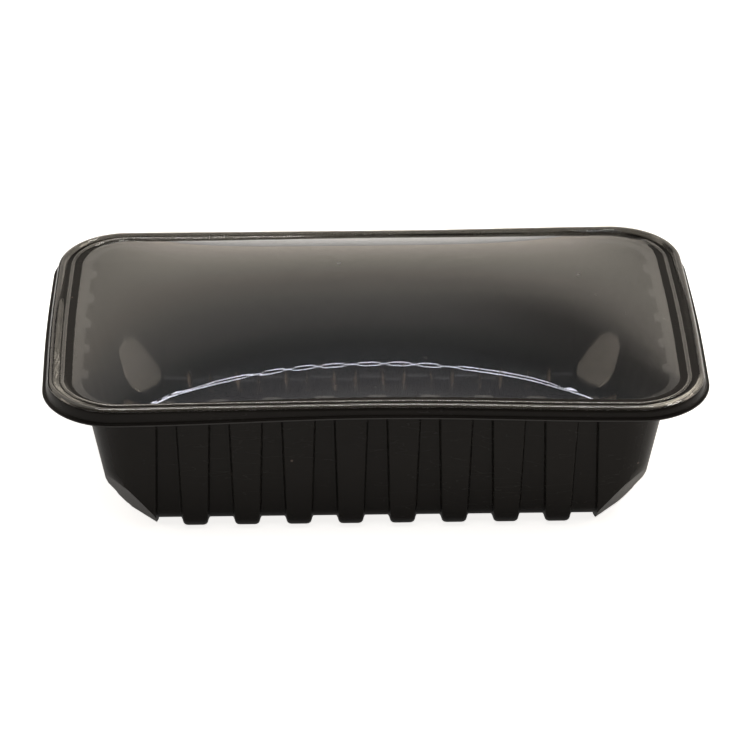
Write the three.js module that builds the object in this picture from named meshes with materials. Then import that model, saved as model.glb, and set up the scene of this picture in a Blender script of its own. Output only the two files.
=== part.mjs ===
// A deep thermoformed food tray, empty, closed by a clear film that is sealed to its rim and has
// blown up into a low dome.  The tray is one piece of thin black sheet: a turned-down rim, walls
// with upright ribs, small feet under the ribs and slanting facets on the lower corners.  The film
// is the second piece.
//
// Millimetres, +Z up.  The long sides run along X and the front side faces -Y.  The origin is at
// the middle of the footprint, on the surface that the feet stand on.

import * as THREE from 'three';

// ---------------------------------------------------------------- driving dimensions
const LENGTH = 262; // over the rim
const WIDTH = 150; // over the rim, near its corners
const LIP_HEIGHT = 57.4; // the rim's cut edge above the surface that the feet stand on
const SHEET = 0.7; // thickness of the tray's sheet
const LIP_RADIUS = 29; // the rim's corners, seen from above

const WALL_LENGTH = 206.6; // over the end walls, at the feet
const WALL_WIDTH = 119.2; // over the long walls, at the feet
const END_DRAFT = 0.1875; // outward lean of the end walls for each millimetre of height
const SIDE_DRAFT = 0.09; // the same for the long walls
const WALL_TOP = 60.5; // where the walls meet the rim
const WALL_RADIUS = 12; // upright corners, at the feet
const WALL_RADIUS_GROWTH = 0.1; // how much wider those corners are for each millimetre of height

const RIB_PITCH = 20.42; // from channel to channel, on all four walls
const SIDE_CHANNELS = 9;
const END_CHANNELS = 5;
const CHANNEL_DEPTH = 2.2;
const CHANNEL_HALF_FOOT = 4.8; // half the width of a channel at the feet
const CHANNEL_TAPER = 0.027; // how much it narrows for each millimetre of height
const CHANNEL_SLOPE = 0.9; // width of the slanting step on each side of a channel

const FLOOR = 2.6; // underside of the floor and of the channels
const FOOT_BEND = 7.8; // radius of the bend from wall to foot
const CHANNEL_BEND = 8; // radius of the bend from channel to floor
const FOOT_EDGE_LIFT = 1; // how much higher a foot is at its rounded edges
const FOOT_EDGE_WIDTH = 1.8;
const FOOT_DEPTH_SIDE = 14.4; // how far the feet reach in from the long walls
const FOOT_DEPTH_END = 11.3; // and from the end walls
const FOOT_STEP = 1.8; // run of the step from a foot up to the floor

// The facet that cuts each lower corner: outward normal towards +X, +Y, and distance to the origin.
const FACET_NORMAL = new THREE.Vector3(0.636, 0.555, -0.535).normalize();
const FACET_DISTANCE = 85;
const FACET_CENTRE = new THREE.Vector2(80, 40); // columns that meet the facet lean towards this

const SIDE_PULL = 2.7; // how far the film's tension draws in the middle of each long side
const SIDE_LIFT = 0.8; // and how far it lifts it there
const PULL_REACH = 105; // half the length of that stretch
const END_BULGE = 1.1; // how far the middle of each end stands out

const FILM = 0.35; // thickness of the film, thicker than the real one
const GAP = 0.3; // between film and tray
const DOME_HEIGHT = 15;

const CORNER_STEPS = 6;
const CORNER_CLEARANCE = 0.3; // between a side's last column and the start of the corner

// The rim's section from the lip to the top of the wall, along the underside of the sheet:
// how far in from the lip on the ends and on the long sides, and the height.
const RIM_SECTION = [
  { end: 0.0, side: 0.0, z: LIP_HEIGHT }, // cut edge
  { end: 1.9, side: 1.5, z: 57.5 }, // foot of the skirt
  { end: 2.7, side: 1.9, z: 61.3 }, // top of the skirt
  { end: 3.6, side: 2.4, z: 62.5 }, // crest of the bead
  { end: 4.6, side: 3.2, z: 62.2 }, // inner side of the bead
  { end: 5.6, side: 4.1, z: 61.7 }, // sealing land, outer edge
  { end: 11.6, side: 9.2, z: 61.7 }, // sealing land, inner edge
  { end: 12.2, side: 9.8, z: 60.9 }, // ledge inside the land
];
const CREST = 3; // the film starts on the bead's crest ...
const LAND_INNER = 6; // ... and leaves the rim at the land's inner edge

// ---------------------------------------------------------------- plan of one ring
// The four sides in anticlockwise order, each with its outward direction.  A side's columns run
// towards the next side's direction.
const OUTWARD = [
  new THREE.Vector2(0, -1), // front
  new THREE.Vector2(1, 0), // right
  new THREE.Vector2(0, 1), // back
  new THREE.Vector2(-1, 0), // left
];

const isLongSide = (side) => side % 2 === 0;
const half = (ring, side) => (isLongSide(side) ? ring.halfWidth : ring.halfLength);

// A point of a ring, which is a rounded rectangle.  A column stands either at a place along one
// side or at an angle round the corner that follows that side.  inset moves it straight inwards.
function planPoint(ring, column, height, inset = 0) {
  const out = OUTWARD[column.side];
  const next = OUTWARD[(column.side + 1) % 4];
  const halfHere = half(ring, column.side);
  const halfNext = half(ring, column.side + 1);
  if (column.angle === undefined) {
    const straight = halfNext - ring.radius - CORNER_CLEARANCE;
    const fit = Math.min(1, straight / Math.abs(column.reach));
    const along = column.along(height) * fit;
    return out.clone().multiplyScalar(halfHere - inset).addScaledVector(next, along);
  }
  const centre = out.clone().multiplyScalar(halfHere - ring.radius);
  centre.addScaledVector(next, halfNext - ring.radius);
  const radius = ring.radius - inset;
  return centre
    .addScaledVector(out, radius * Math.cos(column.angle))
    .addScaledVector(next, radius * Math.sin(column.angle));
}

// ---------------------------------------------------------------- columns round the tray
// Each side has two columns on either flank of every channel, and two near the edges of each foot.
function sideColumns(side) {
  const channels = isLongSide(side) ? SIDE_CHANNELS : END_CHANNELS;
  const last = (channels - 1) / 2;
  const halfChannel = (height) => CHANNEL_HALF_FOOT - CHANNEL_TAPER * height;
  const reach = last * RIB_PITCH + CHANNEL_HALF_FOOT + CHANNEL_SLOPE + FOOT_EDGE_WIDTH;
  const columns = [];
  for (let channel = -last; channel <= last; channel += 1) {
    const centre = channel * RIB_PITCH;
    const flank = (sign, extra, kind) => ({
      side,
      kind,
      reach,
      along: (height) => centre + sign * (halfChannel(height) + extra),
    });
    columns.push(
      flank(-1, CHANNEL_SLOPE + FOOT_EDGE_WIDTH, 'panel'),
      flank(-1, CHANNEL_SLOPE, 'edge'),
      flank(-1, 0, 'channel'),
      flank(1, 0, 'channel'),
      flank(1, CHANNEL_SLOPE, 'edge'),
      flank(1, CHANNEL_SLOPE + FOOT_EDGE_WIDTH, 'panel'),
    );
  }
  return columns;
}

function cornerColumns(side) {
  const columns = [];
  for (let step = 0; step <= CORNER_STEPS; step += 1) {
    columns.push({ side, kind: 'panel', angle: (step / CORNER_STEPS) * (Math.PI / 2) });
  }
  return columns;
}

const allSides = [0, 1, 2, 3];
const trayColumns = allSides.flatMap((side) => [...sideColumns(side), ...cornerColumns(side)]);

// ---------------------------------------------------------------- sections
// Moves a polyline of { inset, z } sideways by distance, towards the top side of the sheet.
function offsetSection(points, distance) {
  const normals = points.slice(1).map((point, index) => {
    const run = point.inset - points[index].inset;
    const rise = point.z - points[index].z;
    return new THREE.Vector2(-rise, run).normalize();
  });
  return points.map((point, index) => {
    const before = normals[Math.max(0, index - 1)];
    const after = normals[Math.min(index, normals.length - 1)];
    const middle = before.clone().add(after).normalize();
    const length = distance / Math.max(0.5, middle.dot(after));
    return { inset: point.inset + middle.x * length, z: point.z + middle.y * length };
  });
}

// The rings of the rim, moved up by lift from the sheet's underside.
function rimRings(lift) {
  const ends = offsetSection(RIM_SECTION.map(({ end, z }) => ({ inset: end, z })), lift);
  const sides = offsetSection(RIM_SECTION.map(({ side, z }) => ({ inset: side, z })), lift);
  return RIM_SECTION.map((_, index) => ({
    halfLength: LENGTH / 2 - END_BULGE - ends[index].inset,
    halfWidth: WIDTH / 2 - sides[index].inset,
    radius: LIP_RADIUS - (ends[index].inset + sides[index].inset) / 2,
    endHeight: ends[index].z,
    sideHeight: sides[index].z,
  }));
}

function rimPoint(ring, column) {
  const plan = planPoint(ring, column, WALL_TOP);
  const towardsNext = column.angle === undefined ? 0 : Math.sin(column.angle) ** 2;
  const here = isLongSide(column.side) ? ring.sideHeight : ring.endHeight;
  const there = isLongSide(column.side) ? ring.endHeight : ring.sideHeight;
  const height = THREE.MathUtils.lerp(here, there, towardsNext);
  return new THREE.Vector3(plan.x, plan.y, height);
}

// The walls' plan at a height, skin millimetres inside their outer face.
const wallRing = (height, skin) => ({
  halfLength: WALL_LENGTH / 2 + END_DRAFT * height - skin,
  halfWidth: WALL_WIDTH / 2 + SIDE_DRAFT * height - skin,
  radius: WALL_RADIUS + WALL_RADIUS_GROWTH * height - skin,
});

// How far a point stands out through the facet of its corner.
function facetExcess(plan, height, skin) {
  const reach =
    FACET_NORMAL.x * Math.abs(plan.x) + FACET_NORMAL.y * Math.abs(plan.y) + FACET_NORMAL.z * height;
  return reach - (FACET_DISTANCE - skin);
}

// Draws a point that stands out through the facet in to it, level and towards FACET_CENTRE.
function clipToFacet(plan, height, skin) {
  const excess = facetExcess(plan, height, skin);
  if (excess <= 0) return plan;
  const centre = new THREE.Vector2(
    Math.sign(plan.x) * FACET_CENTRE.x,
    Math.sign(plan.y) * FACET_CENTRE.y,
  );
  return plan.clone().lerp(centre, excess / (excess - facetExcess(centre, height, skin)));
}

// The height at which a column runs into the facet, or below 0 where it stays clear of it.
function facetHeight(column, depth, skin) {
  const excessAt = (height) =>
    facetExcess(planPoint(wallRing(height, skin), column, height, depth), height, skin);
  const low = excessAt(0);
  return (low * WALL_TOP) / (low - excessAt(WALL_TOP));
}

// The six lower points of a column: wall top, three down the bend or the facet, the foot's inner
// edge and the floor.
function lowerPoints(column, skin) {
  const isChannel = column.kind === 'channel';
  const depth = isChannel ? CHANNEL_DEPTH : 0;
  const bend = isChannel ? CHANNEL_BEND : FOOT_BEND;
  const ownBase = { channel: FLOOR, edge: FOOT_EDGE_LIFT, panel: 0 }[column.kind];
  const cut = facetHeight(column, depth, skin);
  const isCut = cut > ownBase + bend;
  const base = isCut ? 0 : ownBase;
  const knee = base + bend;
  const radius = bend - skin;
  const bottom = base + skin;
  const place = (height, plan) => {
    const clipped = clipToFacet(plan, height, skin);
    return new THREE.Vector3(clipped.x, clipped.y, height);
  };
  const outside = (height) => {
    const fall = Math.min(radius, Math.max(0, knee - height));
    const inset = depth + radius - Math.sqrt(radius ** 2 - fall ** 2);
    const level = Math.max(height, knee);
    return place(height, planPoint(wallRing(level, skin), column, level, inset));
  };
  const heights = isCut
    ? [cut, (cut + bottom) / 2, bottom]
    : [knee, knee - radius * Math.SQRT1_2, bottom];
  const points = [WALL_TOP + skin, ...heights].map(outside);
  for (const [run, height] of [[0, base], [FOOT_STEP, FLOOR]]) {
    const inner = {
      halfLength: WALL_LENGTH / 2 - FOOT_DEPTH_END - run,
      halfWidth: WALL_WIDTH / 2 - FOOT_DEPTH_SIDE - run,
      radius: FOOT_STEP * 2,
    };
    points.push(place(height + skin, planPoint(inner, column, 0)));
  }
  return points;
}

// ---------------------------------------------------------------- the pull of the film
// The shrinking film draws the long sides in and up, most at the top, and the ends stand out.
function pull(point) {
  const rise = Math.min(1, point.z / LIP_HEIGHT);
  const share = rise ** 2;
  const along = Math.abs(point.x) < PULL_REACH ? Math.cos((Math.PI * point.x) / (2 * PULL_REACH)) ** 2 : 0;
  const across = point.y / (WIDTH / 2);
  const outwards = point.x / (LENGTH / 2);
  return new THREE.Vector3(
    point.x + END_BULGE * rise ** 8 * outwards * Math.cos((Math.PI * point.y) / WIDTH) ** 2,
    point.y - SIDE_PULL * share * along * across,
    point.z + SIDE_LIFT * share * along * Math.abs(across),
  );
}

// ---------------------------------------------------------------- closed shells
// Joins two skins, each a list of rings with the same number of points, into one closed body.
// The first ring of each is the open edge, and the last is closed by a fan to its middle.
function shell(topRings, underRings) {
  const count = topRings[0].length;
  const vertices = [];
  const triangles = [];
  const addRing = (ring) => {
    const start = vertices.length;
    vertices.push(...ring);
    return start;
  };
  const band = (outer, inner, flip) => {
    for (let i = 0; i < count; i += 1) {
      const j = (i + 1) % count;
      const quad = [[outer + i, outer + j, inner + j], [outer + i, inner + j, inner + i]];
      for (const [a, b, c] of quad) triangles.push(...(flip ? [a, c, b] : [a, b, c]));
    }
  };
  const skin = (rings, flip) => {
    const starts = rings.map(addRing);
    for (let r = 1; r < starts.length; r += 1) band(starts[r - 1], starts[r], flip);
    const last = starts[starts.length - 1];
    const middle = rings[rings.length - 1]
      .reduce((sum, point) => sum.add(point), new THREE.Vector3())
      .divideScalar(count);
    const centre = addRing([new THREE.Vector3(0, 0, middle.z)]);
    for (let i = 0; i < count; i += 1) {
      const edge = [last + i, last + ((i + 1) % count)];
      triangles.push(...(flip ? [edge[1], edge[0], centre] : [edge[0], edge[1], centre]));
    }
    return starts[0];
  };
  const top = skin(topRings, false);
  const under = skin(underRings, true);
  band(top, under, true);

  const geometry = new THREE.BufferGeometry();
  const positions = vertices.flatMap(({ x, y, z }) => [x, y, z]);
  geometry.setAttribute('position', new THREE.Float32BufferAttribute(positions, 3));
  geometry.setIndex(triangles);
  geometry.computeVertexNormals();
  return geometry;
}

// ---------------------------------------------------------------- tray
function traySkin(skin) {
  const lower = trayColumns.map((column) => lowerPoints(column, skin));
  const rim = rimRings(skin).map((ring) => trayColumns.map((column) => rimPoint(ring, column)));
  const rest = lower[0].map((_, level) => lower.map((points) => points[level]));
  return [...rim, ...rest].map((ring) => ring.map(pull));
}

const trayGeometry = () => shell(traySkin(SHEET), traySkin(0));

// ---------------------------------------------------------------- film
const FILM_SIDE_COLUMNS = 7;
const FILM_END_COLUMNS = 4;
const DOME_SCALES = [0.93, 0.82, 0.66, 0.45, 0.22]; // the dome's rings, as shares of its edge
const EDGE_SHARE_POWER = 4; // how fast the edge's own height fades towards the middle
const FILM_REACH = 93; // the outermost film column of a long side, near its straight end
const FILM_END_REACH = 45;

function filmColumns() {
  return allSides.flatMap((side) => {
    const count = isLongSide(side) ? FILM_SIDE_COLUMNS : FILM_END_COLUMNS;
    const reach = isLongSide(side) ? FILM_REACH : FILM_END_REACH;
    const straight = [];
    for (let i = 0; i < count; i += 1) {
      const place = reach * ((2 * i) / (count - 1) - 1);
      straight.push({ side, reach, along: () => place });
    }
    return [...straight, ...cornerColumns(side)];
  });
}

// The shape that even pressure gives a thin film held at the edges of a rectangle, as the first
// terms of its series, 1 in the middle and 0 at the edges.
function domeShape(x, y, halfLength, halfWidth) {
  const odd = [1, 3, 5];
  const sum = (u, v) => {
    let total = 0;
    for (const m of odd) {
      for (const n of odd) {
        const weight = m * n * ((m / halfLength) ** 2 + (n / halfWidth) ** 2);
        total += (Math.sin(m * Math.PI * u) * Math.sin(n * Math.PI * v)) / weight;
      }
    }
    return total;
  };
  return sum((x / halfLength + 1) / 2, (y / halfWidth + 1) / 2) / sum(0.5, 0.5);
}

function filmSkin(lift) {
  const columns = filmColumns();
  const rings = rimRings(SHEET + lift).slice(CREST, LAND_INNER + 1);
  const flat = rings.map((ring) => columns.map((column) => rimPoint(ring, column)));
  const edge = flat[flat.length - 1];
  const { halfLength, halfWidth } = rings[rings.length - 1];
  const shape = ({ x, y }) => domeShape(x, y, halfLength, halfWidth);
  const dome = DOME_SCALES.map((scale) =>
    edge.map((point) => {
      const inner = point.clone().multiply(new THREE.Vector3(scale, scale, 1));
      const height = DOME_HEIGHT * (shape(inner) - shape(point) * scale ** EDGE_SHARE_POWER);
      return inner.setZ(point.z + height);
    }),
  );
  return [...flat, ...dome].map((ring) => ring.map(pull));
}

const filmGeometry = () => shell(filmSkin(GAP + FILM), filmSkin(GAP));

// ---------------------------------------------------------------- object
const blackSheet = new THREE.MeshStandardMaterial({ color: 0x1f1d1c, roughness: 0.38, metalness: 0 });
const clearFilm = new THREE.MeshStandardMaterial({
  color: 0xe9ecee,
  roughness: 0.06,
  metalness: 0,
  transparent: true,
  opacity: 0.3,
});

const group = new THREE.Group();

const tray = new THREE.Mesh(trayGeometry(), blackSheet);
tray.name = 'tray';
group.add(tray);

const film = new THREE.Mesh(filmGeometry(), clearFilm);
film.name = 'lid_film';
group.add(film);

export default group;
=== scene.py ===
# %% [markdown]
# # A black food tray under a clear domed film
#
# The real thing is a deep tray, blown from one thin black sheet over a mould, with a clear
# film welded to its rim.  Air inside has lifted the film into a low dome.  This notebook
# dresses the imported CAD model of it.  The CAD gives the place and the size of both pieces,
# and here each of them is made again with the fine forms that a camera sees: thin steps
# beside the ribs, the bead and the weld line of the rim, and the creases of the film.
#
# Everything is worked out in millimetres, as a mould maker would, and turned into Blender's
# metres once, when a mesh is made.

# %% Load the CAD model
import math

import bpy
import numpy as np
from mathutils import Matrix, Vector


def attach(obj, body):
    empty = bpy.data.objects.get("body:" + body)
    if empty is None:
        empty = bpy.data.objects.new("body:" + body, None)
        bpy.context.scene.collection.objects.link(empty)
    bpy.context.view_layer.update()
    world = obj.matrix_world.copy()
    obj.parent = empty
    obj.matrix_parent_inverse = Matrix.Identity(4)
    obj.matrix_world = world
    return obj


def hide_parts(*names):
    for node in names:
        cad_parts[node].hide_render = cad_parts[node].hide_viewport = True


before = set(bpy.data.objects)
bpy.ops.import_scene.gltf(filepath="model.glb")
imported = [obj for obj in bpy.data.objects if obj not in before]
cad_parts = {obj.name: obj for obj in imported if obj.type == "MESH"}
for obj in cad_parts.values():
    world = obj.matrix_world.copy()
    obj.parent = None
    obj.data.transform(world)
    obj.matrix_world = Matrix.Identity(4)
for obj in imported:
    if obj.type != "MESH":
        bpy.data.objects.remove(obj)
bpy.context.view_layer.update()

MM = 0.001

# %% [markdown]
# ## The plan of the tray
#
# A blown tray is one skin that runs from the rim's cut edge down the walls to the floor.
# Such a skin could be sculpted, or made from a box with many bevels.  A loft is cleaner
# here: the tray is a stack of closed rings, and each ring is a rounded rectangle.  Every
# ring has the same number of points, so the rings join into even quads.
#
# A point of a ring belongs to a column.  Most columns stand beside one of the channels that
# part the ribs, a few tenths of a millimetre apart, so that the thin step between rib and
# channel is a real form.  The others stand in the middle of a rib and round the corners.

# %% Columns round the tray
RIB_PITCH = 20.42  # from channel to channel
CHANNELS = (9, 5, 9, 5)  # front, right end, back, left end
OUTWARD = np.array([(0, -1), (1, 0), (0, 1), (-1, 0)], float)  # the same four sides
BACK = 2  # the back's number among them
CORNER_STEPS = 24

# Across one step, from the channel's floor to the rib's face: the place past the channel's
# edge, the share of the channel's depth, and the share of the floor's lift over the feet.
STEP_ACROSS = np.array([
    (-1.2, 1.00, 1.00),
    (-0.25, 1.00, 1.00),
    (0.0, 0.96, 1.00),
    (0.2, 0.80, 0.97),
    (0.45, 0.50, 0.88),
    (0.65, 0.22, 0.72),
    (0.8, 0.06, 0.55),
    (1.0, 0.00, 0.37),
    (1.4, 0.00, 0.18),
    (1.9, 0.00, 0.06),
    (2.7, 0.00, 0.00),
])


class Columns:
    """Columns as arrays: side, centre, sign and place beside a channel, or angle in a corner."""

    def __init__(self, rows):
        table = np.array(rows, float)
        self.side = table[:, 0].astype(int)
        self.centre, self.sign, self.past = table[:, 1], table[:, 2], table[:, 3]
        self.depth_share, self.lift_share = table[:, 4], table[:, 5]
        self.angle = table[:, 6]
        self.corner = ~np.isnan(self.angle)
        self.turn = np.where(self.corner, np.sin(np.nan_to_num(self.angle)) ** 2, 0.0)
        self.long_side = self.side % 2 == 0


def corner_rows(side, steps):
    """Rows of columns round the corner that follows a side."""
    return [(side, 0, 0, 0, 0, 0, math.pi / 2 * k / steps) for k in range(steps + 1)]


def tray_columns():
    """Columns at the steps of each channel, in the middle of each rib and round the corners."""
    rows = []
    for side, count in enumerate(CHANNELS):
        for number in range(count):
            centre = (number - (count - 1) / 2) * RIB_PITCH
            if number:
                rows.append((side, centre - RIB_PITCH / 2, 0, 0, 0, 0, np.nan))
            for past, depth, lift in STEP_ACROSS[::-1]:
                rows.append((side, centre, -1, past, depth, lift, np.nan))
            rows.append((side, centre, 0, 0, 1, 1, np.nan))
            for past, depth, lift in STEP_ACROSS:
                rows.append((side, centre, 1, past, depth, lift, np.nan))
        rows += corner_rows(side, CORNER_STEPS)
    return Columns(rows)


sheet_columns = tray_columns()
print("columns round the tray:", len(sheet_columns.side))

# %% Rings as rounded rectangles
CHANNEL_HALF_FOOT = 4.8  # half a channel's width at the feet ...
CHANNEL_TAPER = 0.027  # ... less this for each millimetre of height
CORNER_CLEARANCE = 0.3  # the last channel of a side keeps this far from the corner
RIM_HEIGHT = 60.0


def plan(columns, half_length, half_width, radius, height=RIM_HEIGHT, inset=0.0):
    """Where each column crosses a rounded rectangle, seen from above."""
    here = np.where(columns.long_side, half_width, half_length)
    there = np.where(columns.long_side, half_length, half_width)
    out = OUTWARD[columns.side]
    onward = OUTWARD[(columns.side + 1) % 4]
    edge = CHANNEL_HALF_FOOT - CHANNEL_TAPER * height
    along = columns.centre + columns.sign * (edge + columns.past)
    straight = np.abs(np.where(columns.corner, 0, along))
    widest = np.array([straight[columns.side % 2 == k].max() for k in (0, 1)])
    room = there - radius - CORNER_CLEARANCE
    along = along * np.minimum(1, room / widest[columns.side % 2])
    angle = np.nan_to_num(columns.angle)
    bend = radius - inset
    across = np.where(columns.corner, here - radius + bend * np.cos(angle), here - inset)
    along = np.where(columns.corner, there - radius + bend * np.sin(angle), along)
    return out * across[:, None] + onward * along[:, None]


# %% [markdown]
# ## The rim
#
# Seen in section, the rim starts at a cut edge that flares out a little, climbs as a steep
# skirt to a round bead, dips, and runs inwards as the flat land that the film is welded to.
# A low weld rib stands in the middle of the land.  Inside it, a small ledge leads to the
# wall.  The ledge is wide on the ends and almost gone on the long sides.
#
# The section could be a Blender curve used as a bevel profile, but its widths differ between
# ends and sides.  A table of points with both insets, rounded off by cutting its corners
# twice, gives one section that changes smoothly round the tray.

# %% The rim's section
LENGTH, WIDTH = 262.0, 150.0
END_BULGE = 1.1  # the middle of each end stands out by this much
LIP_RADIUS = 29.0
SHEET = 0.7  # thickness of the black sheet

# Top of the sheet: inset on the ends, inset on the long sides, height.
RIM_POINTS = np.array([
    (0.00, 0.00, 57.45),
    (0.00, 0.00, 58.05),
    (0.15, 0.12, 58.16),
    (0.85, 0.65, 58.22),
    (1.25, 0.95, 58.60),
    (1.45, 1.15, 59.60),
    (1.62, 1.30, 60.50),
    (1.92, 1.55, 61.30),
    (2.40, 1.95, 62.00),
    (3.05, 2.50, 62.50),
    (3.85, 3.15, 62.72),
    (4.70, 3.65, 62.66),
    (5.50, 4.00, 62.42),
    (6.20, 4.30, 62.38),
    (7.00, 4.75, 62.42),
    (7.60, 5.10, 62.85),
    (8.20, 5.45, 62.85),
    (8.80, 5.80, 62.42),
    (9.30, 6.20, 62.38),
    (10.4, 7.60, 62.38),
    (11.5, 9.00, 62.38),
    (11.9, 9.30, 62.15),
    (12.3, 9.50, 61.75),
    (12.8, 9.65, 61.62),
    (14.2, 10.1, 61.58),
])


def cut_corners(points, times):
    """Rounds a line of points off by cutting its corners, a few times over."""
    for _ in range(times):
        near = points[:-1] * 0.75 + points[1:] * 0.25
        far = points[:-1] * 0.25 + points[1:] * 0.75
        middle = np.stack([near, far], 1).reshape(-1, points.shape[1])
        points = np.vstack([points[:1], middle, points[-1:]])
    return points


def move_sideways(inset, height, distance):
    """Moves a section to the side that looks into the tray's wall, by distance."""
    run, rise = np.gradient(inset), np.gradient(height)
    for _ in range(3):
        run = np.convolve(np.pad(run, 1, mode="edge"), [0.25, 0.5, 0.25], "valid")
        rise = np.convolve(np.pad(rise, 1, mode="edge"), [0.25, 0.5, 0.25], "valid")
    size = np.hypot(run, rise)
    return inset + distance * rise / size, height - distance * run / size


def soft_step(value, low, high):
    """Goes smoothly from 0 at low to 1 at high."""
    share = np.clip((value - low) / (high - low), 0, 1)
    return share * share * (3 - 2 * share)


def station_at(side_inset):
    """The point of the rim's section that is nearest to an inset on the long sides."""
    return int(np.argmin(np.abs(rim_top[:, 1] - side_inset)))


rim_top = cut_corners(RIM_POINTS, 2)
LAND_INNER = station_at(9.1)  # the film leaves the rim here
print("stations of the rim's section:", len(rim_top), "film leaves at", LAND_INNER)

# %% The rim's rings
BEAD_RISE, RIGHT_RISE = 1.2, 0.9  # how much higher the bead stands at the back, and right
LEFT_RISE = 1.3  # how much higher bead and weld rib stand at the left of the front
bead_share = soft_step(rim_top[:, 2], 59.5, 62.4) * (1 - soft_step(rim_top[:, 1], 3.4, 4.3))
top_share = soft_step(rim_top[:, 2], 59.5, 61.8) * (1 - soft_step(rim_top[:, 1], 5.6, 7.6))


def rim_rings(columns, stations, below=0.0):
    """Rings of the rim along the given stations, each below (or above, if negative) the top."""
    end, end_height = move_sideways(rim_top[:, 0], rim_top[:, 2], below)
    side, side_height = move_sideways(rim_top[:, 1], rim_top[:, 2], below)
    rings = []
    for k in stations:
        flat = plan(
            columns,
            LENGTH / 2 - END_BULGE - end[k],
            WIDTH / 2 - side[k],
            LIP_RADIUS - (end[k] + side[k]) / 2,
        )
        here = np.where(columns.long_side, side_height[k], end_height[k])
        there = np.where(columns.long_side, end_height[k], side_height[k])
        height = here + (there - here) * columns.turn
        x, y = flat.T
        rise = BEAD_RISE + RIGHT_RISE * soft_step(x, 10, 100)
        height = height + rise * bead_share[k] * soft_step(y, -55, 50)
        left_front = soft_step(-x, 10, 90) * soft_step(-y, 42, 62)
        height = height + LEFT_RISE * top_share[k] * left_front
        rings.append(np.column_stack([flat, height]))
    return rings


# %% [markdown]
# ## Walls, feet and corner facets
#
# The walls lean outwards and carry upright ribs.  Between two ribs the sheet steps back by
# two millimetres into a channel, and at the bottom each rib ends in a small foot that bends
# in under the tray.  The four lower corners are cut off by slanting facets.
#
# The facets could be cut with a boolean, which leaves ragged faces.  Instead, each column
# knows the height at which it meets its facet, puts a ring point exactly there, and every
# lower point is drawn in to the facet's plane.  So the crease is a clean line.

# %% From the wall to the floor
WALL_LENGTH, WALL_WIDTH = 206.6, 119.2  # over the walls, at the feet
END_DRAFT, SIDE_DRAFT = 0.1875, 0.09  # lean for each millimetre of height
WALL_TOP = 60.5
WALL_RADIUS, WALL_RADIUS_GROWTH = 12.0, 0.1  # of the upright corners, at the feet and per mm
CHANNEL_DEPTH = 2.2
FLOOR = 2.6  # how high the floor lies over the feet
FOOT_BEND = 7.8  # radius from the wall into the foot
FOOT_DEPTH_SIDE, FOOT_DEPTH_END, FOOT_STEP = 14.4, 11.3, 1.8  # length of the feet, their slope
FACET_TILT = np.array([0.636, 0.555, -0.535])
FACET_NORMAL = FACET_TILT / np.linalg.norm(FACET_TILT)
FACET_DISTANCE = 85.0
FACET_CENTRE = np.array([80.0, 40.0])
FACET_EDGE = 2.6  # radius of the facet's lower edge

# Shares of the way, ring by ring: down the wall, round the bend, down a facet, up a foot.
WALL_STEPS = np.linspace(0, 1, 11)
BEND_STEPS = np.linspace(0, 1, 10)[1:]
FACET_STEPS = np.array([0.12, 0.3, 0.5, 0.68, 0.82, 0.9, 0.95, 0.985, 1.0])
FOOT_STEPS = np.array([0.0, 0.2, 0.4, 0.6, 0.8, 1.0])


def wall_plan(columns, height, skin, inset):
    """The wall at a height, skin millimetres inside its outer face."""
    return plan(
        columns,
        WALL_LENGTH / 2 + END_DRAFT * height - skin,
        WALL_WIDTH / 2 + SIDE_DRAFT * height - skin,
        WALL_RADIUS + WALL_RADIUS_GROWTH * height - skin,
        height,
        inset,
    )


def past_facet(flat, height, skin):
    """How far points stand out through the facet of their corner."""
    reach = np.abs(flat) @ FACET_NORMAL[:2] + FACET_NORMAL[2] * height
    return reach - (FACET_DISTANCE - skin)


def draw_in(flat, height, skin):
    """Draws points that stand out through their corner's facet in to it, level."""
    low = np.clip(FACET_EDGE - (height - skin), 0, FACET_EDGE)
    rounding = FACET_EDGE - np.sqrt(FACET_EDGE ** 2 - low ** 2)
    excess = past_facet(flat, height, skin) + rounding
    centre = np.sign(flat) * FACET_CENTRE
    share = np.where(excess > 0, excess / (excess - past_facet(centre, height, skin)), 0)
    return flat + (centre - flat) * share[:, None]


def lower_rings(columns, skin):
    """Rings from the top of the wall to the floor, skin millimetres inside the outer face."""
    depth = CHANNEL_DEPTH * columns.depth_share
    base = FLOOR * columns.lift_share
    low, high = (
        past_facet(wall_plan(columns, z, skin, depth), z, skin) for z in (0.0, WALL_TOP)
    )
    meets = low * WALL_TOP / (low - high)
    is_cut = meets > base + FOOT_BEND
    base = np.where(is_cut, 0, base)
    knee = base + FOOT_BEND
    radius = FOOT_BEND - skin
    top, bottom = WALL_TOP + skin, base + skin
    turn_off = np.where(is_cut, meets, knee)
    heights = [top + (turn_off - top) * step for step in WALL_STEPS]
    for bend, slide in zip(BEND_STEPS, FACET_STEPS):
        round_down = knee - radius * math.sin(bend * math.pi / 2)
        heights.append(np.where(is_cut, meets + (bottom - meets) * slide, round_down))
    rings = []
    for height in heights:
        fall = np.clip(knee - height, 0, radius)
        inset = depth + radius - np.sqrt(radius ** 2 - fall ** 2)
        flat = wall_plan(columns, np.maximum(height, knee), skin, inset)
        rings.append(np.column_stack([draw_in(flat, height, skin), height]))
    for step in FOOT_STEPS:
        height = skin + base + (FLOOR - base) * (3 - 2 * step) * step ** 2
        flat = plan(
            columns,
            WALL_LENGTH / 2 - FOOT_DEPTH_END - FOOT_STEP * step,
            WALL_WIDTH / 2 - FOOT_DEPTH_SIDE - FOOT_STEP * step,
            FOOT_STEP * 2,
            0.0,
        )
        rings.append(np.column_stack([draw_in(flat, height, skin), height]))
    return rings


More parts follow.
